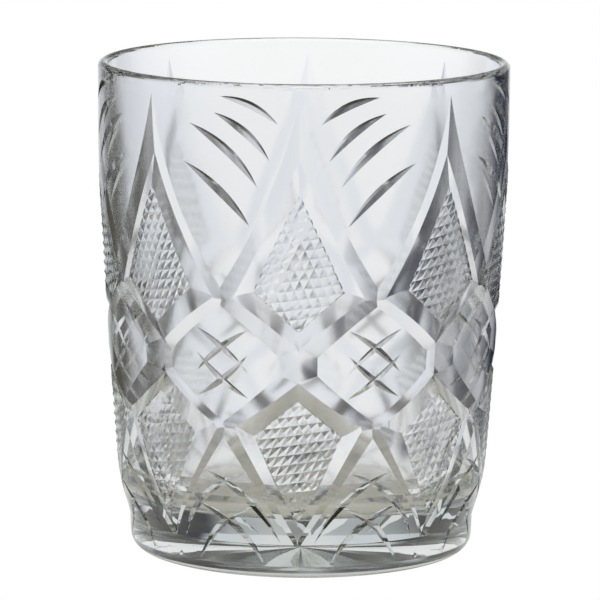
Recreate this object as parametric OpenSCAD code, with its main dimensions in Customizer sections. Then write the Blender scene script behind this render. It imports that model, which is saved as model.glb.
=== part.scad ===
// Whisky tumbler of clear pressed crystal: one piece of glass, cut all over its outside.
// Millimetres, +Z up. The origin is the middle of the face it stands on, and the pattern's front is at -Y.

/* [Glass] */
// Height of the glass
height = 96; // [94:0.5:98]
// Outside diameter at the lip
rim_d = 80; // [79:0.5:82]
// Outside diameter of the plain band at the foot
base_d = 67; // [66:0.5:68]
// Thickness of the rounded lip
lip = 2.2; // [1.8:0.1:2.6]
// Thickness of the solid glass under the drink
floor_thickness = 12; // [10:0.5:14]
// Inside radius where the straight inner wall starts, above the floor's corner
bore_foot_r = 33; // [32:0.5:33.5]
// Radius of the inside corner between wall and floor
floor_fillet = 8; // [5:0.5:10]

/* [Foot] */
// Height of the plain band round the foot
band_h = 7; // [6:0.5:8]
// Radius of the rounded edge round the foot
heel_r = 3.5; // [2.5:0.5:4]
// Radius of the hollow under the foot
punt_r = 27; // [25:0.5:28]
// Depth of that hollow
punt_depth = 0.8; // [0.5:0.1:1.2]
// Number of rays in the star cut into the hollow
star_rays = 20; // [12:2:20]
// Depth of a ray at the middle of the star
star_depth = 1.6; // [1:0.1:2]

/* [Cut pattern] */
// How many times the pattern repeats round the glass
repeats = 8; // [6:2:10]
// Depth of the wide cuts at the fork of a spear
fork_depth = 1.15; // [0.9:0.05:1.3]
// Depth of the wide cuts where they cross beside the diamonds
cross_depth = 1.5; // [1.2:0.05:1.7]
// Depth of the wide cuts where they meet at the belt
belt_depth = 1.75; // [1.4:0.05:1.9]
// Depth of the wide cuts where they run out at the foot
foot_depth = 0.5; // [0.3:0.05:0.7]
// Opening angle of the narrow mitre cuts
mitre_angle = 115; // [100:5:125]

/* [Hidden] */
$fn = 160;

rim_r = rim_d / 2;
base_r = base_d / 2;
lip_r = lip / 2;
pitch = 360 / repeats;
half = pitch / 2;

// Size of the blocks that stand for all the space beyond a plane, and how far a cutter runs past a face
far = 200;
overlap = 1;

// The wide cuts are never deeper than this, and each of their walls is this many flat facets
deepest_cut = 2;
wall_facets = 2;

// Heights of the pattern's points, from the lip down to the foot
spear_tip = height - 3;
fork = height - 12;
upper_top = height - 21;
upper_side = height - 39.5;
upper_cross = height - 41;
upper_foot = height - 47;
belt_top = height - 52;
belt_middle = height - 54;
belt_foot = height - 56.5;
lower_top = height - 60.5;
lower_cross = height - 66;
lower_side = height - 67.5;
lower_foot = height - 84.5;

// Half widths of the diamonds and of the belt's lozenges, as angles round the glass
diamond_half = 0.555 * half;
panel_half = 0.765 * half;

// The outside before it is cut: [height, radius] from the foot up
tuck = band_h + 8.5;
waist = height - 46;
shoulder = height - 18;
neck = height - 6;
outside = [
    [0, base_r],
    [band_h, base_r + 0.1],
    [tuck, base_r + 2.3],
    [waist, rim_r - 1.55],
    [shoulder, rim_r - 0.1],
    [neck, rim_r - 0.4],
    [height - 2, rim_r],
    [height, rim_r]
];

// Places where the wide cuts meet, as [angle, height, depth] from the diamonds' line
fork_place = [0, fork, fork_depth];
upper_cross_place = [half, upper_cross, cross_depth];
belt_top_place = [0, belt_top, belt_depth];
belt_foot_place = [0, belt_foot, belt_depth];
lower_cross_place = [half, lower_cross, cross_depth];
foot_place = [0, band_h, foot_depth];

// The same place as seen from the shields' line, half a repeat further on
function from_shield(place) = [half - place[0], place[1], place[2]];

// The point on the outside at a place
function on_wall(place) =
    let (r = lookup(place[1], outside) - place[2])
    [r * cos(place[0]), r * sin(place[0]), place[1]];

// The direction of v, one unit long
function unit(v) = v / norm(v);

// What lies the given share of the way from a to b
function mix(a, b, share) = a + (b - a) * share;

// Turns +Z towards the direction d
module point_along(d) {
    rotate([0, acos(d.z), atan2(d.y, d.x)]) children();
}

// ---- The turned shapes ----

// The space beyond a rounded corner at the end of a wall that is r wide, below or above the corner's centre
module corner_waste(centre, r, up) {
    difference() {
        translate([centre[0], centre[1] - (up ? 0 : r + overlap)]) square(r + overlap);
        translate(centre) circle(r);
    }
}

// The solid outside shape, drawn in by inset along the part of the wall that the wide cuts reach
module turned(inset) {
    rotate_extrude()
        difference() {
            polygon(concat(
                [[0, 0]],
                [for (s = outside) [s[1] - (s[0] > band_h && s[0] < height - 2 ? inset : 0), s[0]]],
                [[0, height]]
            ));
            corner_waste([base_r - heel_r, heel_r], heel_r, false);
            corner_waste([rim_r - lip_r, height - lip_r], lip_r, true);
        }
}

// The space for the drink, with a rounded floor corner and half of the rounded lip
module cavity() {
    lip_centre = [rim_r - lip_r, height - lip_r];
    rotate_extrude()
        difference() {
            polygon([
                [0, floor_thickness],
                [bore_foot_r, floor_thickness],
                [bore_foot_r, floor_thickness + floor_fillet],
                [rim_r - lip, lip_centre[1]],
                lip_centre,
                [lip_centre[0], height + overlap],
                [0, height + overlap]
            ]);
            translate(lip_centre) circle(lip_r);
            corner_waste(
                [bore_foot_r - floor_fillet, floor_thickness + floor_fillet],
                floor_fillet,
                false
            );
        }
}

// ---- The wide cuts, as what they leave standing ----

// All the space outside the plane through three points, on the side away from the glass's axis
module outside_plane(points) {
    n = unit(cross(points[1] - points[0], points[2] - points[0]));
    translate(points[0])
        point_along(n.x > 0 ? n : -n)
            translate([-far / 2, -far / 2, 0])
                cube(far);
}

// One sloping wall of a block, from its top edge down to the bottom of the cut beside it.
// It is flat facets side by side, as it follows the round glass.
function wall(edge_from, edge_to, bottom_from, bottom_to) = [
    for (i = [0 : wall_facets - 1])
        [
            on_wall(mix(edge_from, edge_to, i / wall_facets)),
            on_wall(mix(edge_from, edge_to, (i + 1) / wall_facets)),
            on_wall(mix(bottom_from, bottom_to, (i + 0.5) / wall_facets))
        ]
];

// The same facets on the other side of a block
function mirrored(facets) = [for (f = facets) [for (p = f) [p.x, -p.y, p.z]]];

// A block that stands up between the wide cuts, one repeat wide and cut down to its facets
module block(facets) {
    reach = 1.2 * rim_r;
    wide = reach * tan(half + 1);
    difference() {
        linear_extrude(height) polygon([[0, 0], [reach, -wide], [reach, wide]]);
        for (f = concat(facets, mirrored(facets)))
            outside_plane(f);
    }
}

// The diamond inside a spear
module upper_diamond() {
    side = [diamond_half, upper_side, 0];
    block(concat(
        wall([0, upper_top, 0], side, fork_place, upper_cross_place),
        wall([0, upper_foot, 0], side, belt_top_place, upper_cross_place)
    ));
}

// The diamond between belt and foot
module lower_diamond() {
    side = [diamond_half, lower_side, 0];
    block(concat(
        wall([0, lower_top, 0], side, belt_foot_place, lower_cross_place),
        wall([0, lower_foot, 0], side, foot_place, lower_cross_place)
    ));
}

// The smooth shield between two spears, under the lip
module shield() {
    block(wall(
        [half, spear_tip, 0],
        [0, upper_cross + 2, 0],
        from_shield(fork_place),
        from_shield(upper_cross_place)
    ));
}

// The smooth lozenge of the belt, between two upper and two lower diamonds
module panel() {
    side = [panel_half, belt_middle, 0];
    end_wall = [for (p = [side, from_shield(belt_top_place), from_shield(belt_foot_place)]) on_wall(p)];
    block(concat(
        wall(
            [0, upper_cross - 1.5, 0],
            side,
            from_shield(upper_cross_place),
            from_shield(belt_top_place)
        ),
        wall(
            [0, lower_cross + 1.5, 0],
            side,
            from_shield(lower_cross_place),
            from_shield(belt_foot_place)
        ),
        [end_wall]
    ));
}

// The smooth skirt that widens down to the foot
module skirt() {
    block(wall(
        [0, lower_cross - 2, 0],
        [half, band_h - 1, 0],
        from_shield(lower_cross_place),
        from_shield(foot_place)
    ));
}

// ---- The narrow mitre cuts ----

// A straight V cut with its bottom edge from p to q, which opens towards the direction outward
module v_cut(p, q, outward, depth) {
    along = unit(q - p);
    turn = atan2(along.y, along.x);
    across = [-sin(turn), cos(turn), 0];
    up = cross(across, along);
    wide = depth * tan(mitre_angle / 2);
    translate(p)
        point_along(along)
            rotate(atan2(outward * across, outward * up))
                linear_extrude(norm(q - p))
                    polygon([[0, 0], [depth, -wide], [depth, wide]]);
}

// A narrow cut between two places on the wall: its bottom is straight, so the round wall makes it a leaf
module leaf(from, to) {
    p = on_wall(from);
    q = on_wall(to);
    middle = (p + q) / 2;
    run_out = overlap * unit(q - p);
    v_cut(p - run_out, q + run_out, unit([middle.x, middle.y, 0]), 2 * deepest_cut);
}

// Four leaves across a shield, sloping down towards one spear
module shield_leaves() {
    leaf([0.05 * half, height - 3, 0], [-0.68 * half, height - 7, 0]);
    leaf([0.12 * half, height - 6, 0], [-0.62 * half, height - 14, 0]);
    leaf([0.4 * half, height - 8.5, 0], [-0.52 * half, height - 19.5, 0]);
    leaf([0.42 * half, height - 15.8, 0], [-0.38 * half, height - 26.3, 0]);
}

// The leaves of the two shields on each side of the front. The shields at the back are plain.
module front_leaves() {
    for (turn = [half, -3 * half])
        rotate(turn - 90) shield_leaves();
    for (turn = [-half, 3 * half])
        rotate(turn - 90) mirror([0, 1, 0]) shield_leaves();
}

// The two pairs of leaves that cross on a lozenge
module crossed_leaves() {
    rise = 4.5;
    gap = 6;
    reach = 0.4 * half;
    for (side = [-1, 1])
        for (row = [-gap / 2, gap / 2])
            leaf(
                [side * reach, belt_middle + rise + row, 0],
                [-side * reach, belt_middle - rise + row, 0]
            );
}

// Two pairs of long leaves that rise from the foot, on both sides of a lower diamond's point
module foot_arches() {
    for (side = [-half, half]) {
        leaf([0.3 * side, band_h + 2, 0], [1.25 * side, band_h + 14, 0]);
        leaf([0.55 * side, heel_r + 0.5, 0], [1.42 * side, band_h + 7.5, 0]);
    }
}

// The hollow that the glass stands round, with its star
module punt() {
    cut_depth = star_depth + punt_depth + overlap;
    translate([0, 0, -overlap]) cylinder(r = punt_r, h = punt_depth + overlap);
    for (i = [0 : star_rays - 1])
        rotate(i * 360 / star_rays)
            v_cut([0, 0, punt_depth + star_depth], [punt_r - 2, 0, punt_depth], [0, 0, -1], cut_depth);
}

// ---- The glass ----

// Its children once for every repeat, turned on by an angle from the front
module round_the_glass(first) {
    for (i = [0 : repeats - 1])
        rotate(-90 + first + i * pitch) children();
}

// The outside with the wide cuts in it, still solid
module blocked_out() {
    intersection() {
        turned(0);
        union() {
            turned(deepest_cut);
            round_the_glass(0) {
                upper_diamond();
                lower_diamond();
            }
            round_the_glass(half) {
                shield();
                panel();
                skirt();
            }
        }
    }
}

module tumbler() {
    color([0.86, 0.9, 0.94, 0.5])
        difference() {
            blocked_out();
            round_the_glass(0) foot_arches();
            round_the_glass(half) crossed_leaves();
            front_leaves();
            cavity();
            punt();
        }
}

tumbler();
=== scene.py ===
"""A whisky tumbler of clear pressed crystal on a pale floor, in soft studio light."""
import math

import bmesh
import bpy
import numpy as np
from mathutils import Euler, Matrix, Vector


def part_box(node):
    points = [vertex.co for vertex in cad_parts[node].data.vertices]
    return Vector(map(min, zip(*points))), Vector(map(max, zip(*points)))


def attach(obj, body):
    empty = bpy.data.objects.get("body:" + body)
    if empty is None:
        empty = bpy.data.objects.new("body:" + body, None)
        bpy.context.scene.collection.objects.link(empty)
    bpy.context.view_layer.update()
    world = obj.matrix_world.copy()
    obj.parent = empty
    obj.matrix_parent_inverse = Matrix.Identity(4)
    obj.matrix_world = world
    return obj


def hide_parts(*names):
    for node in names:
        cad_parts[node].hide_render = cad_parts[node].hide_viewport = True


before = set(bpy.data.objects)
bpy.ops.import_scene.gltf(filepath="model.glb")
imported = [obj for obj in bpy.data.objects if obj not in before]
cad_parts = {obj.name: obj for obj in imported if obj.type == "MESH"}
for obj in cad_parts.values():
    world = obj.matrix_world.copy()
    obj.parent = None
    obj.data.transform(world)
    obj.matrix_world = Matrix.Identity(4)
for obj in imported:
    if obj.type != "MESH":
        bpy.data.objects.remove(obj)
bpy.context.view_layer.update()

# ---- Sizes of the glass, in millimetres, from the CAD part's box ----

MM = 0.001
low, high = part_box("tumbler")
HEIGHT = (high.z - low.z) / MM
RIM_R = (high.x - low.x) / 2 / MM
BASE_R = RIM_R - 6.5
BAND_R = BASE_R + 0.1
LIP_R = 1.1
FLOOR = 12.0
BORE_FOOT_R = RIM_R - 7.0
FLOOR_FILLET = 8.0
BAND = 7.0
HEEL_R = 3.5
PUNT_R = RIM_R - 13.0
PUNT_DEPTH = 0.8

# The cut pattern repeats round the glass. Angles are in degrees from the front, and positive to its right.
REPEATS = 8
PITCH = 360 / REPEATS
HALF = PITCH / 2
COLUMNS_PER_REPEAT = 24

# Widths in the pattern are measured on the wall unrolled: millimetres for each degree
UNROLL = math.radians(1) * (RIM_R - 1.5)

# Distances between the net's rows, before it is split along the cuts
ROW_STEP = 1.45
BAND_STEP = 1.2
RING_STEP = 1.5
PUNT_STEP = 2.6
BORE_STEP = 2.4
LIP_STEPS = 6
HEEL_STEPS = 7
FILLET_STEPS = 12

# Radius of the uncut outside at some heights, from the band up to the lip
OUTSIDE = [
    (BAND, BAND_R),
    (15.5, BASE_R + 2.35),
    (24.0, BASE_R + 3.15),
    (HEIGHT / 2 + 2, RIM_R - 1.55),
    (HEIGHT - 31, RIM_R - 0.65),
    (HEIGHT - 20, RIM_R - 0.1),
    (HEIGHT, RIM_R),
]


def mix(a, b, share):
    """What lies the given share of the way from a to b."""
    return a + (b - a) * share


def smooth_line(points, at):
    """A smooth curve through a few points, which doesn't overshoot them, at the values of at."""
    x, y = np.array(points, float).T
    step = np.diff(y) / np.diff(x)
    slope = np.zeros(len(x))
    flat = step[:-1] * step[1:] <= 0
    slope[1:-1] = np.where(flat, 0, 2 * step[:-1] * step[1:] / np.where(flat, 1, step[:-1] + step[1:]))
    slope[0], slope[-1] = step[0], step[-1]
    i = np.clip(np.searchsorted(x, at) - 1, 0, len(x) - 2)
    width = x[i + 1] - x[i]
    t = (at - x[i]) / width
    return (
        y[i] * (1 + 2 * t) * (1 - t) ** 2
        + slope[i] * width * t * (1 - t) ** 2
        + y[i + 1] * t**2 * (3 - 2 * t)
        + slope[i + 1] * width * t**2 * (t - 1)
    )


def outer_radius(z):
    """Radius of the uncut outside at a height above the band."""
    return smooth_line(OUTSIDE, z)


def arc(centre, radius, start, end, steps):
    """Points on an arc, with its angles in degrees from straight out."""
    turns = np.radians(np.linspace(start, end, steps + 1))
    return [(centre[0] + radius * math.cos(turn), centre[1] + radius * math.sin(turn)) for turn in turns]


def line(start, end, step):
    """Points on a straight line, its start left out."""
    count = max(1, round(math.dist(start, end) / step))
    run = np.array(end) - np.array(start)
    return [tuple(np.array(start) + run * i / count) for i in range(1, count + 1)]


def outside_profile():
    """The outside as (radius, height), from the top of the lip down the wall and in under the foot."""
    top = HEIGHT - LIP_R
    rows = round((top - BAND) / ROW_STEP)
    heights = np.linspace(top, BAND, rows + 1)[1:]
    wall = list(zip(outer_radius(heights), heights))
    punt_edge = (PUNT_R - PUNT_DEPTH, PUNT_DEPTH)
    return (
        arc((RIM_R - LIP_R, top), LIP_R, 90, 0, LIP_STEPS)
        + wall
        + line((BAND_R, BAND), (BASE_R, HEEL_R), BAND_STEP)
        + arc((BASE_R - HEEL_R, HEEL_R), HEEL_R, 0, -90, HEEL_STEPS)[1:]
        + line((BASE_R - HEEL_R, 0), (PUNT_R, 0), RING_STEP)
        + line((PUNT_R, 0), punt_edge, RING_STEP)
        + line(punt_edge, (0, PUNT_DEPTH), PUNT_STEP)
    )


def inside_profile():
    """The inside as (radius, height), from the middle of its floor up to the top of the lip."""
    corner = (BORE_FOOT_R - FLOOR_FILLET, FLOOR + FLOOR_FILLET)
    lip = (RIM_R - LIP_R, HEIGHT - LIP_R)
    fillet = arc(corner, FLOOR_FILLET, -90, 0, FILLET_STEPS)
    return (
        [(0, FLOOR)]
        + line((0, FLOOR), (corner[0], FLOOR), PUNT_STEP)
        + fillet[1:]
        + line(fillet[-1], (lip[0] - LIP_R, lip[1]), BORE_STEP)
        + arc(lip, LIP_R, 180, 90, LIP_STEPS)[1:]
    )


# ---- The cut pattern, as depths below the uncut outside ----

# The fields left standing between the wide cuts. Each is half an outline from the top down, as
# (mm off the field's middle line, height), and for each of its sides the slope of the wall that falls
# away from it, at the side's start and end, and how far the side bows outwards.
DIAMOND_HALF = 12.5 * UNROLL
PANEL_HALF = 17.0 * UNROLL
SHARE = HALF * UNROLL
FIELDS = {
    "upper_diamond": {
        "on_diamond": True,
        "outline": [(0, HEIGHT - 21), (DIAMOND_HALF, HEIGHT - 39.5), (0, HEIGHT - 47)],
        "sides": [(0.28, 0.27, 0), (0.27, 0.46, 0)],
    },
    "lower_diamond": {
        "on_diamond": True,
        "outline": [
            (0, HEIGHT - 60.5),
            (DIAMOND_HALF, HEIGHT - 67.5),
            (0.52 * DIAMOND_HALF, HEIGHT - 76.5),
            (0, HEIGHT - 84),
        ],
        "sides": [(0.56, 0.27, 0), (0.27, 0.27, 0), (0.27, 0.2, 0)],
    },
    "shield": {
        "on_diamond": False,
        "outline": [(SHARE, HEIGHT - 3), (0, HEIGHT - 39)],
        "sides": [(0.25, 0.32, 1.9)],
    },
    "panel": {
        "on_diamond": False,
        "outline": [
            (0, HEIGHT - 42.5),
            (PANEL_HALF, HEIGHT - 52),
            (PANEL_HALF, HEIGHT - 55.5),
            (0, HEIGHT - 65),
        ],
        "sides": [(0.45, 0.42, 0.25), (0.42, 0.42, 0), (0.42, 0.45, 0.25)],
    },
    "skirt": {
        "on_diamond": False,
        "outline": [(0, HEIGHT - 68), (SHARE, BAND - 1)],
        "sides": [(0.45, 0.4, 0)],
    },
}
RIM_BAND = HEIGHT - 3

# Half the opening angle of the narrow cuts, as its tangent
MITRE = math.tan(math.radians(100 / 2))

# The narrow cuts, each as its two ends (degrees from a diamond's middle line, height), its outward bow and
# its greatest depth. The leaves are on the four shields at the front, and slope down to every second spear.
LEAVES = [
    ((22.0, HEIGHT - 2.6), (5.8, HEIGHT - 7.6), 1.1, 0.6),
    ((23.9, HEIGHT - 5.7), (8.0, HEIGHT - 14.6), 1.2, 0.65),
    ((31.4, HEIGHT - 8), (11.4, HEIGHT - 19.5), 1.4, 0.7),
    ((33.1, HEIGHT - 15.4), (13.6, HEIGHT - 27.0), 1.1, 0.7),
]
BELT = HEIGHT - 53.6
CROSS_REACH = 8
CROSS_RISE = 4.2
CROSS_GAP = 4.8
CROSS_BOW = 0.25
CROSS_DEPTH = 0.52
CROSSES = [
    (
        (HALF - CROSS_REACH, BELT + side * CROSS_RISE + row),
        (HALF + CROSS_REACH, BELT - side * CROSS_RISE + row),
        row * CROSS_BOW,
        CROSS_DEPTH,
    )
    for side in (-1, 1)
    for row in (-CROSS_GAP / 2, CROSS_GAP / 2)
]
ARCHES = [
    ((5.5, BAND + 0.3), (29, BAND + 14.2), 2.2, 0.6),
    ((10.5, HEEL_R - 1), (32.5, BAND + 7.8), 2.0, 0.6),
]

# Depths that stand for no cut at all, and for triangles near enough to a cut to be split by it
NO_CUT = -5.0
NEAR_CUT = -1.5
NEAR_MIDDLE = -1.2

# The hobnail points inside the diamonds stand in rows that rise to the right, and lean to the right.
# Their grooves run out where the diamonds' walls are this deep.
HOBNAIL_DEPTH = 0.32
HOBNAIL_RUN_OUT = 0.1
NEAR_RUN_OUT = 0.6
HOBNAIL_ROW = 1.85
HOBNAIL_COLUMN = 1.5
ROW_TILT = math.radians(8)
COLUMN_LEAN = math.radians(25)

# The net is split along every fifth line of the hobnail at a time, so that no triangle spans two of them
LINE_GROUPS = 5

# The star cut into the hollow under the foot
STAR_RAYS = 20
STAR_R = PUNT_R - 2
STAR_DEPTH = 1.6


def off_diamond(angle):
    """Degrees from the nearest diamond's middle line, negative to its left."""
    return (angle + HALF) % PITCH - HALF


def wall(x, z, start, end, side):
    """Depth of a wall that falls away from the line between two corners, negative on the field's side."""
    slope_start, slope_end, bow = side
    run = np.array(end, float) - np.array(start, float)
    length = np.hypot(*run)
    out = np.array([-run[1], run[0]]) / length
    dx, dz = x - start[0], z - start[1]
    share = np.clip((dx * run[0] + dz * run[1]) / length**2, -0.3, 1.3)
    if bow:
        radius = length**2 / (8 * bow) + bow / 2
        centre = (np.array(start) + np.array(end)) / 2 - out * (radius - bow)
        distance = np.hypot(x - centre[0], z - centre[1]) - radius
    else:
        distance = dx * out[0] + dz * out[1]
    return distance * mix(slope_start, slope_end, share)


def field_walls(name, angle, z):
    """The depth of each wall round a field."""
    field = FIELDS[name]
    off = np.abs(off_diamond(angle))
    x = UNROLL * (off if field["on_diamond"] else HALF - off)
    outline = field["outline"]
    return [wall(x, z, *outline[i : i + 2], side) for i, side in enumerate(field["sides"])]


def field_depth(name, angle, z):
    """How far the nearest wall round a field has fallen, negative inside the field."""
    return np.max(field_walls(name, angle, z), axis=0)


def all_fields(angle, z):
    """The depth beside every field, and then beside the plain bands at lip and foot, as rows."""
    rows = [field_depth(name, angle, z) for name in FIELDS]
    return np.array(rows + [RIM_BAND - z, z - BAND])


def wide_cuts(angle, z):
    """Depth of the wide cuts, 0 on the fields."""
    return np.maximum(all_fields(angle, z).min(axis=0), 0)


def stroke_places(angle, mirrored, every):
    """How far off a diamond's middle line a point is, for cuts repeated and mirrored round the glass."""
    period = PITCH * every
    turn = angle % period
    return UNROLL * (period - turn if mirrored else turn)


def at_front(angle):
    """Whether an angle is on the half of the glass that faces the front."""
    return np.abs((angle + 180) % 360 - 180) < 2 * PITCH


def stroke(x, z, cut):
    """(depth, distance off the middle line) of a narrow mitre cut that runs out at both ends."""
    (start_angle, start_z), (end_angle, end_z), bow, depth = cut
    start = np.array([start_angle * UNROLL, start_z])
    end = np.array([end_angle * UNROLL, end_z])
    run = end - start
    length = np.hypot(*run)
    along = run / length
    up = np.array([-along[1], along[0]]) * (1 if along[0] > 0 else -1)
    middle = (start + end) / 2
    dx, dz = x - middle[0], z - middle[1]
    share = (dx * along[0] + dz * along[1]) / (length / 2)
    swell = 1 - share**2
    off = dx * up[0] + dz * up[1] - bow * swell
    return depth * swell - np.abs(off) / MITRE, off


def strokes():
    """Every narrow cut as a function of (angle, height), for both hands of the pattern."""

    def one(cut, mirrored, every):
        def place(angle, z):
            depth, off = stroke(stroke_places(angle, mirrored, every), z, cut)
            if cut in LEAVES:
                depth = np.where(at_front(angle), depth, np.minimum(depth, NO_CUT))
            return depth, off

        return place

    both = (False, True)
    return (
        [one(cut, mirrored, 2) for cut in LEAVES for mirrored in both]
        + [one(cut, False, 1) for cut in CROSSES]
        + [one(cut, mirrored, 1) for cut in ARCHES for mirrored in both]
    )


def hobnail_lattice(angle, z):
    """Counts rows and columns of hobnail points, with a point's middle at whole numbers."""
    x = off_diamond(angle) * UNROLL
    row = (z * math.cos(ROW_TILT) - x * math.sin(ROW_TILT)) / HOBNAIL_ROW
    column = (x * math.cos(COLUMN_LEAN) - z * math.sin(COLUMN_LEAN)) / HOBNAIL_COLUMN
    return row, column


def beside_hobnail(angle, z):
    """The depth of the nearest diamond's walls, negative inside the diamond."""
    return np.minimum(field_depth("upper_diamond", angle, z), field_depth("lower_diamond", angle, z))


def in_hobnail(angle, z):
    """Whether a point is in a diamond, or a little way down its walls, where the hobnail runs out."""
    return beside_hobnail(angle, z) < HOBNAIL_RUN_OUT


def hobnail(angle, z):
    """Depth of the grooves between pyramids whose tops are at the uncut outside."""
    row, column = hobnail_lattice(angle, z)
    point = 2 * np.maximum(np.abs(row - np.round(row)), np.abs(column - np.round(column)))
    return HOBNAIL_DEPTH * point * np.clip(1 - beside_hobnail(angle, z) / HOBNAIL_RUN_OUT, 0, 1)


def star_turn(angle):
    """Radians from the middle of the nearest ray of the star."""
    return np.radians((angle + 180 / STAR_RAYS) % (360 / STAR_RAYS) - 180 / STAR_RAYS)


def star(angle, radius):
    """Depth of the star under the foot, negative outside its rays."""
    turn = star_turn(angle)
    depth = STAR_DEPTH * (1 - radius * np.cos(turn) / STAR_R)
    return depth - np.abs(radius * np.sin(turn)) / MITRE


def under_foot(angle, z, radius):
    """Whether a point is in the hollow under the foot."""
    return (z < PUNT_DEPTH + 0.01) & (radius < PUNT_R - PUNT_DEPTH)


def on_wall(z):
    """Whether a height is between the underside and the rounded lip."""
    return (z > 0.2) & (z < HEIGHT - LIP_R)


# ---- The skin: a net of triangles over (angle, way along the profile) that is split along every crease ----

# Differences smaller than these, in mm or degrees, don't count
ZERO = 1e-7
SAME = 1e-9

# A spot moves onto a line that crosses its edge within this share of the edge. Where it can't move, a line
# that crosses within the smaller share is taken to pass through it.
REACH = 0.3
AT_THE_SPOT = 0.03


class Skin:
    """Triangles over the outside, unrolled. Each spot is (angle, way), in mm along the profile."""

    def __init__(self, profile, columns):
        self.profile = np.array(profile, float)
        self.way = np.concatenate([[0], np.cumsum(np.hypot(*np.diff(self.profile, axis=0).T))])
        angles = np.linspace(0, 360, columns + 1)
        rows = len(self.way)
        self.spots = np.array([(a, w) for w in self.way for a in angles])
        index = np.arange(rows * (columns + 1)).reshape(rows, columns + 1)
        a, b, c, d = index[:-1, :-1], index[:-1, 1:], index[1:, 1:], index[1:, :-1]
        even = (np.add.outer(np.arange(rows - 1), np.arange(columns)) % 2 == 0)[..., None]
        first = np.where(even, np.stack([a, b, c], -1), np.stack([a, b, d], -1))
        second = np.where(even, np.stack([a, c, d], -1), np.stack([b, c, d], -1))
        self.faces = np.concatenate([first.reshape(-1, 3), second.reshape(-1, 3)])
        in_pattern = (self.height() > BAND + 0.1) & (self.height() < HEIGHT - LIP_R - 0.1)
        on_middle_line = np.abs((self.spots[:, 0] + 1e-6) % HALF) < 1e-3

        # which spots are free to move round the glass, and which along the profile
        self.turns = in_pattern & ~on_middle_line
        self.slides = in_pattern.copy()

    def radius(self, spots=None):
        """Radius of the profile at the spots, or at all the net's spots."""
        return np.interp((self.spots if spots is None else spots)[:, 1], self.way, self.profile[:, 0])

    def height(self, spots=None):
        """Height of the profile at the spots, or at all the net's spots."""
        return np.interp((self.spots if spots is None else spots)[:, 1], self.way, self.profile[:, 1])

    def on_outside(self, spots):
        """Whether spots are above the underside."""
        return spots[:, 1] < self.way[np.argmax(self.profile[:, 1] <= 1e-6)]

    def pin(self, places):
        """Moves the nearest free spot to each place (angle, height) on the wall."""
        wall_way = np.interp([-z for _, z in places], -self.profile[:, 1], self.way)
        for (angle, _), way in zip(places, wall_way):
            off = np.hypot((self.spots[:, 0] - angle) * UNROLL, self.spots[:, 1] - way)
            nearest = np.argmin(np.where(self.turns | (np.abs(self.spots[:, 0] - angle) < 1e-6), off, np.inf))
            self.spots[nearest] = angle, way
            self.turns[nearest] = self.slides[nearest] = False

    def split(self, level, near, period=None):
        """Splits triangles where level(angle, height, radius) is zero, so that the line becomes edges.

        near picks the triangles by their middles. With a period, all values that far apart count as zero.
        Free spots close to the line move onto it, which keeps the triangles well shaped.
        """

        def value_at(spots):
            value = level(spots[:, 0], self.height(spots), self.radius(spots))
            return value if period is None else (value + period / 2) % period - period / 2

        value = value_at(self.spots)
        value[np.abs(value) < ZERO] = 0
        faces = self.faces
        middle = self.spots[faces].mean(axis=1)
        chosen = near(middle[:, 0], self.height(middle), self.radius(middle))
        sides = np.sort(np.concatenate([faces[:, [0, 1]], faces[:, [1, 2]], faces[:, [2, 0]]]), axis=1)
        keys = sides[:, 0] * len(self.spots) + sides[:, 1]
        picked = np.unique(keys[np.tile(chosen, 3)])
        edges = np.stack([picked // len(self.spots), picked % len(self.spots)], axis=1)

        def crossed(pairs):
            a, b = value[pairs[:, 0]], value[pairs[:, 1]]
            jump = np.abs(a - b) > period / 2 if period else np.zeros(len(a), bool)
            return (a * b < 0) & ~jump

        edges = edges[crossed(edges)]
        if not len(edges):
            return
        share, places = self.crossing(edges, value, value_at)

        # free spots near the line move onto it, each along the edge that crosses closest to it
        for end, distance in ((0, share), (1, 1 - share)):
            spot = edges[:, end]
            change = np.abs(self.spots[edges[:, 0]] - self.spots[edges[:, 1]])
            may = (self.turns[spot] | (change[:, 0] < SAME)) & (self.slides[spot] | (change[:, 1] < SAME))
            may &= (self.turns[spot] | self.slides[spot]) & (distance < REACH) & (value[spot] != 0)
            order = np.flatnonzero(may)[np.argsort(-distance[may], kind="stable")]
            self.spots[spot[order]] = places[order]
            self.turns[spot[order]] = self.slides[spot[order]] = False
            value[spot[order]] = 0
            close = (distance < AT_THE_SPOT) & ~may
            value[spot[close]] = 0
            self.turns[spot[close]] = self.slides[spot[close]] = False
        edges = edges[crossed(edges)]
        if not len(edges):
            return
        _, places = self.crossing(edges, value, value_at)
        self.insert(edges, places)

    def crossing(self, edges, value, value_at):
        """Where the line crosses each edge, as a share of the edge and as a spot."""
        a, b = self.spots[edges[:, 0]], self.spots[edges[:, 1]]
        low_share, high_share = np.zeros(len(edges)), np.ones(len(edges))
        low_value, high_value = value[edges[:, 0]], value[edges[:, 1]]
        share = low_value / (low_value - high_value)
        for _ in range(4):
            found = value_at(a + (b - a) * share[:, None])
            same = found * low_value > 0
            low_share, low_value = np.where(same, share, low_share), np.where(same, found, low_value)
            high_share, high_value = np.where(same, high_share, share), np.where(same, high_value, found)
            gap = low_value - high_value
            part = np.where(np.abs(gap) > 1e-12, low_value / np.where(gap == 0, 1, gap), 0.5)
            share = low_share + (high_share - low_share) * np.clip(part, 0.02, 0.98)
        return share, a + (b - a) * share[:, None]

    def insert(self, edges, places):
        """Adds one new spot on each edge, and splits every triangle on those edges."""
        count = len(self.spots)
        keys = edges[:, 0] * count + edges[:, 1]
        order = np.argsort(keys)
        keys, places = keys[order], places[order]
        self.spots = np.concatenate([self.spots, places])
        self.turns = np.concatenate([self.turns, np.zeros(len(keys), bool)])
        self.slides = np.concatenate([self.slides, np.zeros(len(keys), bool)])

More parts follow.
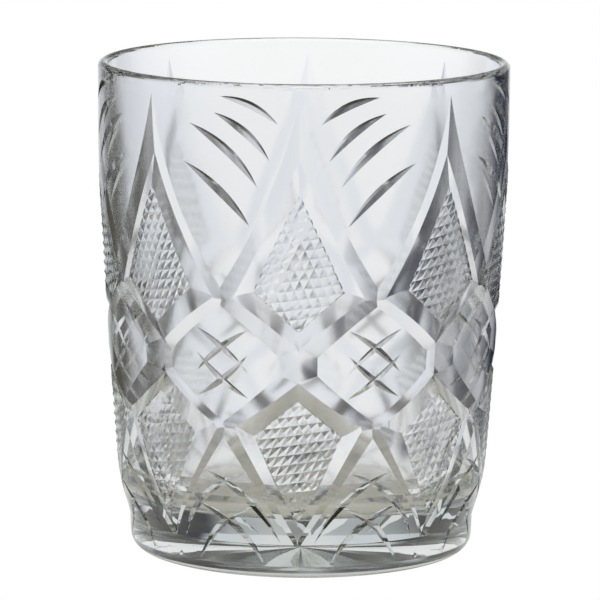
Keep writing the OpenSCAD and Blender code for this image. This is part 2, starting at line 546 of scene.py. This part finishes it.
        def middle(a, b):
            key = np.minimum(a, b) * count + np.maximum(a, b)
            i = np.minimum(np.searchsorted(keys, key), len(keys) - 1)
            return np.where(keys[i] == key, count + i, -1)

        faces = self.faces
        halves = np.stack([middle(faces[:, i], faces[:, (i + 1) % 3]) for i in range(3)], axis=1)
        found = (halves >= 0).sum(axis=1)
        done = [faces[found == 0]]

        # turn each triangle so that its split sides come first, or last when there are two
        for number in (1, 2, 3):
            these = found == number
            f, h = faces[these], halves[these]
            lead = np.argmax(h >= 0, axis=1) if number != 2 else (np.argmax(h < 0, axis=1) + 1) % 3
            turn = (lead[:, None] + np.arange(3)) % 3
            a, b, c = np.take_along_axis(f, turn, 1).T
            p, q, r = np.take_along_axis(h, turn, 1).T
            if number == 1:
                done += [np.stack([a, p, c], 1), np.stack([p, b, c], 1)]
            elif number == 2:
                done.append(np.stack([p, b, q], 1))
                across_q, across_p = self.spots[a] - self.spots[q], self.spots[p] - self.spots[c]
                shorter = (np.hypot(*across_q.T) < np.hypot(*across_p.T))[:, None]
                done.append(np.where(shorter, np.stack([a, p, q], 1), np.stack([a, p, c], 1)))
                done.append(np.where(shorter, np.stack([a, q, c], 1), np.stack([p, q, c], 1)))
            else:
                done += [np.stack(t, 1) for t in ((a, p, r), (p, b, q), (r, q, c), (p, q, r))]
        self.faces = np.concatenate(done)


def pin_corners(skin):
    """Moves a spot to each corner of each field."""
    outlines = [(name, x / UNROLL, z) for name, field in FIELDS.items() for x, z in field["outline"]]
    for i in range(REPEATS):
        for name, off, z in outlines:
            centre = i * PITCH + (0 if FIELDS[name]["on_diamond"] else HALF)
            skin.pin([((centre + off) % 360, z), ((centre - off) % 360, z)])


def split_outlines(skin):
    """Splits along the outline of every field, and the edges of the plain bands."""
    for row in range(len(FIELDS) + 2):
        skin.split(lambda a, z, r, row=row: all_fields(a, z)[row], lambda a, z, r: on_wall(z))


def split_ridges(skin):
    """Splits along the ridges between the walls of one field."""
    for row, name in enumerate(FIELDS):
        for i in range(len(FIELDS[name]["sides"]) - 1):

            def two_walls(a, z, name=name, i=i):
                return field_walls(name, a, z)[i : i + 2]

            def near(a, z, r, row=row, two_walls=two_walls):
                depths = all_fields(a, z)
                beside_field = on_wall(z) & (depths.argmin(axis=0) == row) & (depths[row] > 0)
                return beside_field & (np.max(two_walls(a, z), axis=0) >= depths[row] - SAME)

            skin.split(lambda a, z, r, two_walls=two_walls: np.subtract(*two_walls(a, z)), near)


def split_bottoms(skin):
    """Splits along the bottoms of the wide cuts, where the walls of two fields meet."""
    for i in range(len(FIELDS) + 2):
        for j in range(i):

            def apart(a, z, r, i=i, j=j):
                depths = all_fields(a, z)
                return depths[i] - depths[j]

            def near(a, z, r, i=i, j=j):
                nearest_two = np.sort(np.argsort(all_fields(a, z), axis=0)[:2], axis=0)
                return on_wall(z) & (nearest_two == [[j], [i]]).all(axis=0)

            skin.split(apart, near)


def split_narrow_cuts(skin):
    """Splits along each narrow cut's bottom and then its edges, and returns the depth of all cuts together.

    They go one after the other, as each may cross those before it.
    """
    cut_so_far = wide_cuts
    for cut in strokes():
        skin.split(
            lambda a, z, r, cut=cut: cut(a, z)[1],
            lambda a, z, r, cut=cut: cut(a, z)[0] > NEAR_MIDDLE,
        )
        skin.split(
            lambda a, z, r, cut=cut, before=cut_so_far: cut(a, z)[0] - before(a, z),
            lambda a, z, r, cut=cut: cut(a, z)[0] > NEAR_CUT,
        )
        cut_so_far = lambda a, z, cut=cut, before=cut_so_far: np.maximum(before(a, z), cut(a, z)[0])
    return cut_so_far


def split_hobnail(skin):
    """Splits along the hobnail's grooves and the ridges of its points, and where the grooves run out."""
    skin.split(
        lambda a, z, r: beside_hobnail(a, z) - HOBNAIL_RUN_OUT,
        lambda a, z, r: on_wall(z) & (np.abs(beside_hobnail(a, z)) < NEAR_RUN_OUT),
    )

    def row(a, z):
        return hobnail_lattice(a, z)[0]

    def column(a, z):
        return hobnail_lattice(a, z)[1]

    families = [
        (row, 0.5),
        (column, 0.5),
        (lambda a, z: row(a, z) - column(a, z), 0),
        (lambda a, z: row(a, z) + column(a, z), 0),
    ]
    for family, start in families:
        for first in range(LINE_GROUPS):
            skin.split(
                lambda a, z, r, family=family, first=first + start: family(a, z) - first,
                lambda a, z, r: on_wall(z) & in_hobnail(a, z),
                period=LINE_GROUPS,
            )
    skin.split(
        lambda a, z, r: hobnail(a, z) - beside_hobnail(a, z),
        lambda a, z, r: on_wall(z) & in_hobnail(a, z) & (beside_hobnail(a, z) > 0),
    )


def split_star(skin):
    """Splits along the middles of the star's rays, the valleys where they meet, and their edges."""
    skin.split(lambda a, z, r: star_turn(a), under_foot)
    skin.split(lambda a, z, r: star_turn(a + 180 / STAR_RAYS), under_foot)
    skin.split(lambda a, z, r: star(a, r), under_foot)


def build_skin():
    """The outside's net, split along every crease of the cut pattern, and the depth of all its cuts."""
    skin = Skin(outside_profile(), REPEATS * COLUMNS_PER_REPEAT)
    pin_corners(skin)
    split_outlines(skin)
    split_ridges(skin)
    split_bottoms(skin)
    cut_depth = split_narrow_cuts(skin)
    split_hobnail(skin)
    split_star(skin)
    return skin, cut_depth


def skin_points(skin, cut_depth):
    """The skin's spots wrapped round the glass, in metres."""
    angle = skin.spots[:, 0]
    radius, z = skin.radius(), skin.height()
    wall = skin.on_outside(skin.spots)
    depth = np.where(wall & on_wall(z), np.maximum(cut_depth(angle, z), hobnail(angle, z)), 0)
    lift = np.where(wall, 0, np.maximum(star(angle, radius), 0) * (radius < STAR_R))
    turn = np.radians(angle)
    radius = radius - depth
    return np.stack([radius * np.sin(turn), -radius * np.cos(turn), z + lift], axis=1) * MM


# Points closer than this are one, in metres, and edges that bend more than this angle stay sharp
WELD = 2e-6
SHARP_ANGLE = math.radians(7)


def turned_points(profile, columns):
    """Points and triangles of a profile turned round the axis."""
    turn = np.radians(np.linspace(0, 360, columns, endpoint=False))
    points = [(r * math.sin(t), -r * math.cos(t), z) for r, z in profile for t in turn]
    rows = len(profile)
    index = np.arange(rows * columns).reshape(rows, columns)
    right = np.roll(index, -1, axis=1)
    a, b, c, d = index[:-1], right[:-1], right[1:], index[1:]
    faces = np.concatenate([np.stack([a, b, c], -1).reshape(-1, 3), np.stack([a, c, d], -1).reshape(-1, 3)])
    return np.array(points) * MM, faces


def make_tumbler():
    """The whole glass as one closed mesh."""
    skin, cut_depth = build_skin()
    outer, outer_faces = skin_points(skin, cut_depth), skin.faces
    inner, inner_faces = turned_points(inside_profile(), REPEATS * COLUMNS_PER_REPEAT)
    points = np.concatenate([outer, inner])
    faces = np.concatenate([outer_faces, inner_faces + len(outer)])
    mesh = bpy.data.meshes.new("tumbler_glass")
    mesh.from_pydata(points.tolist(), [], faces.tolist())
    work = bmesh.new()
    work.from_mesh(mesh)
    bmesh.ops.remove_doubles(work, verts=work.verts, dist=WELD)

    # where the net's two ends meet, one may have been split at a spot that the other lacks
    seam_gaps = [edge for edge in work.edges if edge.is_boundary]
    bmesh.ops.holes_fill(work, edges=seam_gaps, sides=0)
    bmesh.ops.triangulate(work, faces=work.faces)
    bmesh.ops.dissolve_degenerate(work, dist=WELD / 2, edges=work.edges)
    bmesh.ops.triangulate(work, faces=work.faces)
    bmesh.ops.recalc_face_normals(work, faces=work.faces)
    for face in work.faces:
        face.smooth = True
    work.to_mesh(mesh)
    work.free()
    mesh.set_sharp_from_angle(angle=SHARP_ANGLE)
    glass = bpy.data.objects.new("tumbler_glass", mesh)
    bpy.context.scene.collection.objects.link(glass)
    return glass


# ---- Materials and studio ----

# The crystal's tint drifts between two colours, and its depth takes away a little light, per metre of glass
GLASS_IOR = 1.52
COOL_TINT = (0.985, 0.99, 0.995)
PALE_TINT = (0.99, 0.995, 1.0)
DEEP_TINT = (0.2, 0.3, 0.25)
DEEP_TINT_DENSITY = 8.0

# Soft waves in the surface, fainter on the polished outside, and how rough the unpolished faces are
WAVES_PER_METRE = 90
WAVE_HEIGHT = 0.1 * MM
POLISHED_WAVES = 0.1
UNPOLISHED_ROUGHNESS = 0.13

# The studio's colours, as light
WHITE = (1.0, 1.0, 1.0)
SOFT_WHITE = (0.86, 0.88, 0.93)
SIDE_COLOUR = (0.5, 0.51, 0.53)
FRONT_COLOUR = (0.25, 0.25, 0.25)
CEILING_COLOUR = (0.03, 0.027, 0.02)
# painted shadow: the floor's glow is dimmed to this colour under the glass
UNDER_GLASS_PAINTED_SHADOW = (0.45, 0.43, 0.36)
AROUND_COLOUR = (0.9, 0.9, 0.9)

# Where the back wall's colours change, in degrees to either side of straight back
SOFT_WHITE_FROM, SOFT_WHITE_TO = 4, 11
SIDE_FROM, SIDE_TO = 18, 45
FRONT_FROM, FRONT_TO = 110, 150

# Dark flags that stand to the right and left of the glass: their edges in degrees off the back, and a colour
RIGHT_FLAG = (15, 44, (0.015, 0.018, 0.04))
LEFT_FLAG = (32, 58, (0.08, 0.075, 0.06))
FLAG_BLUR = 8

# The wall darkens upwards between these heights in degrees, and a lamp overhead fills the sky above these
# heights, as shares of straight up
WALL_TOP, WALL_END = 1, 15
LAMP_EDGE, LAMP_FULL = 0.80, 0.86

# How far from the middle the floor's shade under the glass and its even part around it reach, in metres
PAINTED_SHADOW_FULL, PAINTED_SHADOW_EDGE = 30 * MM, 36 * MM
AROUND_FULL, AROUND_EDGE = 50 * MM, 150 * MM
FLOOR_HALF_SIZE = 3.0


def maths(tree, operation, *values):
    """A Math node's output. Each value is a number or another node's output."""
    node = tree.nodes.new("ShaderNodeMath")
    node.operation = operation
    for socket, value in zip(node.inputs, values):
        if isinstance(value, (int, float)):
            socket.default_value = value
        else:
            tree.links.new(value, socket)
    return node.outputs[0]


def off_axis(tree, x, y):
    """How far a place is from the upright axis."""
    squares = maths(tree, "ADD", maths(tree, "MULTIPLY", x, x), maths(tree, "MULTIPLY", y, y))
    return maths(tree, "SQRT", squares)


def fade(tree, value, start, end):
    """0 up to start, rising smoothly to 1 at end. With end below start it rises as the value falls."""
    node = tree.nodes.new("ShaderNodeMapRange")
    node.interpolation_type = "SMOOTHSTEP"
    node.inputs["From Min"].default_value = start
    node.inputs["From Max"].default_value = end
    tree.links.new(value, node.inputs["Value"])
    return node.outputs[0]


def blend(tree, share, first, second):
    """A colour between two, each a plain colour or another node's output."""
    node = tree.nodes.new("ShaderNodeMix")
    node.data_type = "RGBA"
    tree.links.new(share, node.inputs["Factor"])
    for socket, colour in zip((node.inputs[6], node.inputs[7]), (first, second)):
        if isinstance(colour, tuple):
            socket.default_value = (*colour, 1)
        else:
            tree.links.new(colour, socket)
    return node.outputs[2]


def unpolished(tree, place):
    """1 on the faces that were pressed and not polished, the inside and the underside, and 0 elsewhere."""
    split = tree.nodes.new("ShaderNodeSeparateXYZ")
    tree.links.new(place, split.inputs[0])
    x, y, z = split.outputs

    # the inside has a smaller radius than a cone that runs between the wall's two faces
    cone_slope = (RIM_R - LIP_R - BORE_FOOT_R) / HEIGHT
    cone = maths(tree, "MULTIPLY_ADD", z, cone_slope, (BORE_FOOT_R + 0.2) * MM)
    inside = fade(tree, maths(tree, "SUBTRACT", cone, off_axis(tree, x, y)), 0.0, 0.3 * MM)
    above_floor = fade(tree, z, (FLOOR - 4) * MM, (FLOOR - 2) * MM)
    below_lip = fade(tree, z, (HEIGHT - 2) * MM, (HEIGHT - 4) * MM)
    inside = maths(tree, "MULTIPLY", maths(tree, "MULTIPLY", inside, above_floor), below_lip)
    underside = fade(tree, z, HEEL_R * MM, (HEEL_R - 1) * MM)
    return maths(tree, "MAXIMUM", inside, underside)


def crystal():
    """Clear crystal: faintly cool and uneven, darker the deeper it is, and less smooth where unpolished."""
    material = bpy.data.materials.new("clear_crystal")
    material.use_nodes = True
    tree = material.node_tree
    shader = tree.nodes["Principled BSDF"]
    shader.inputs["IOR"].default_value = GLASS_IOR
    shader.inputs["Transmission Weight"].default_value = 1.0
    place = tree.nodes.new("ShaderNodeTexCoord").outputs["Object"]
    unpolished_here = unpolished(tree, place)
    roughness = maths(tree, "MULTIPLY", unpolished_here, UNPOLISHED_ROUGHNESS)
    tree.links.new(roughness, shader.inputs["Roughness"])

    waves = tree.nodes.new("ShaderNodeTexNoise")
    waves.inputs["Scale"].default_value = WAVES_PER_METRE
    waves.inputs["Detail"].default_value = 1.0
    tree.links.new(place, waves.inputs["Vector"])
    tint = blend(tree, waves.outputs["Fac"], COOL_TINT, PALE_TINT)
    tree.links.new(tint, shader.inputs["Base Color"])
    bump = tree.nodes.new("ShaderNodeBump")
    bump.inputs["Distance"].default_value = WAVE_HEIGHT
    strength = maths(tree, "MULTIPLY_ADD", unpolished_here, 1 - POLISHED_WAVES, POLISHED_WAVES)
    tree.links.new(waves.outputs["Fac"], bump.inputs["Height"])
    tree.links.new(strength, bump.inputs["Strength"])
    tree.links.new(bump.outputs["Normal"], shader.inputs["Normal"])

    depth_tint = tree.nodes.new("ShaderNodeVolumeAbsorption")
    depth_tint.inputs["Color"].default_value = (*DEEP_TINT, 1)
    depth_tint.inputs["Density"].default_value = DEEP_TINT_DENSITY
    tree.links.new(depth_tint.outputs["Volume"], tree.nodes["Material Output"].inputs["Volume"])
    return material


def flag(tree, off_back, this_side, start, end):
    """How much of a flag stands in a direction: 1 between its two soft edges, on its own side only."""
    edges = [fade(tree, off_back, math.radians(at), math.radians(at + FLAG_BLUR)) for at in (start, end)]
    return maths(tree, "MULTIPLY", maths(tree, "SUBTRACT", *edges), this_side)


def studio_wall(tree, vector):
    """The studio's colour at a compass direction: white at the back, darker to the sides and the front.

    Also gives how far from the axis the vector reaches, and its height.
    """
    split = tree.nodes.new("ShaderNodeSeparateXYZ")
    tree.links.new(vector, split.inputs[0])
    x, y, z = split.outputs
    off_back = maths(tree, "ARCTAN2", maths(tree, "ABSOLUTE", x), y)

    def past(start, end):
        return fade(tree, off_back, math.radians(start), math.radians(end))

    colour = blend(tree, past(SOFT_WHITE_FROM, SOFT_WHITE_TO), WHITE, SOFT_WHITE)
    colour = blend(tree, past(SIDE_FROM, SIDE_TO), colour, SIDE_COLOUR)
    colour = blend(tree, past(FRONT_FROM, FRONT_TO), colour, FRONT_COLOUR)
    right = fade(tree, x, -1 * MM, 1 * MM)
    left = maths(tree, "SUBTRACT", 1.0, right)
    for this_side, (start, end, flag_colour) in ((right, RIGHT_FLAG), (left, LEFT_FLAG)):
        colour = blend(tree, flag(tree, off_back, this_side, start, end), colour, flag_colour)
    return colour, off_axis(tree, x, y), z


def white_to_camera(tree, colour):
    """Plain white where the camera sees it directly, so that the glass stands on white from every side."""
    seen = tree.nodes.new("ShaderNodeLightPath").outputs["Is Camera Ray"]
    return blend(tree, seen, colour, WHITE)


def pale_floor():
    """A white floor that glows evenly, a little dimmer where the glass stands on it: a painted shadow of the
    glass.
    """
    material = bpy.data.materials.new("pale_floor")
    material.use_nodes = True
    tree = material.node_tree
    shader = tree.nodes["Principled BSDF"]
    shader.inputs["Base Color"].default_value = (0, 0, 0, 1)
    shader.inputs["Specular IOR Level"].default_value = 0.0
    place = tree.nodes.new("ShaderNodeNewGeometry").outputs["Position"]
    colour, flat, _ = studio_wall(tree, place)
    colour = blend(tree, fade(tree, flat, AROUND_EDGE, AROUND_FULL), colour, AROUND_COLOUR)
    # painted shadow of the glass: the floor glows dimmer under it
    colour = blend(tree, fade(tree, flat, PAINTED_SHADOW_EDGE, PAINTED_SHADOW_FULL), colour, UNDER_GLASS_PAINTED_SHADOW)
    tree.links.new(white_to_camera(tree, colour), shader.inputs["Emission Color"])
    shader.inputs["Emission Strength"].default_value = 1.0
    return material


def make_floor():
    """The plain floor that the glass stands on."""
    corners = [(FLOOR_HALF_SIZE * x, FLOOR_HALF_SIZE * y, 0) for x, y in ((-1, -1), (1, -1), (1, 1), (-1, 1))]
    mesh = bpy.data.meshes.new("floor")
    mesh.from_pydata(corners, [], [(0, 1, 2, 3)])
    mesh.materials.append(pale_floor())
    floor = bpy.data.objects.new("floor", mesh)
    bpy.context.scene.collection.objects.link(floor)


def make_world():
    """Soft light from all round: a white wall at the back, dim sides, and a dark ceiling with a lamp."""
    world = bpy.data.worlds.new("studio")
    bpy.context.scene.world = world
    world.use_nodes = True
    tree = world.node_tree
    direction = tree.nodes.new("ShaderNodeTexCoord").outputs["Generated"]
    colour, _, z = studio_wall(tree, direction)
    above_wall = fade(tree, z, math.sin(math.radians(WALL_TOP)), math.sin(math.radians(WALL_END)))
    colour = blend(tree, above_wall, colour, CEILING_COLOUR)
    colour = blend(tree, fade(tree, z, LAMP_EDGE, LAMP_FULL), colour, WHITE)
    tree.links.new(white_to_camera(tree, colour), tree.nodes["Background"].inputs["Color"])


# The camera stands this far from the glass and above the floor, in metres, a little to the glass's right
CAMERA_DISTANCE = 0.990
CAMERA_HEIGHT = 0.212
CAMERA_ASIDE = -0.5 * MM
CAMERA_PITCH = math.radians(9.36)
CAMERA_TURN = math.radians(1.15)
CAMERA_ROLL = math.radians(0.4)
LENS = 308
SENSOR = 36


def make_camera():
    """The camera looks a little down at the glass from its front, through a long lens."""
    data = bpy.data.cameras.new("camera")
    data.lens = LENS
    data.sensor_width = SENSOR
    camera = bpy.data.objects.new("camera", data)
    camera.location = (
        CAMERA_DISTANCE * math.sin(CAMERA_TURN) + CAMERA_ASIDE,
        -CAMERA_DISTANCE * math.cos(CAMERA_TURN),
        CAMERA_HEIGHT,
    )
    aim = Euler((math.pi / 2 - CAMERA_PITCH, 0, CAMERA_TURN)).to_quaternion()
    camera.rotation_mode = "QUATERNION"
    camera.rotation_quaternion = aim @ Euler((0, 0, CAMERA_ROLL)).to_quaternion()
    bpy.context.scene.collection.objects.link(camera)
    bpy.context.scene.camera = camera


glass = make_tumbler()
glass.data.materials.append(crystal())
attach(glass, "root")
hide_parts("tumbler")

make_floor()
make_world()
make_camera()

# Light crosses many faces in cut glass, so it needs more bounces than usual
scene = bpy.context.scene
scene.view_settings.view_transform = "Standard"
scene.cycles.max_bounces = 24
scene.cycles.transmission_bounces = 24
scene.cycles.glossy_bounces = 12
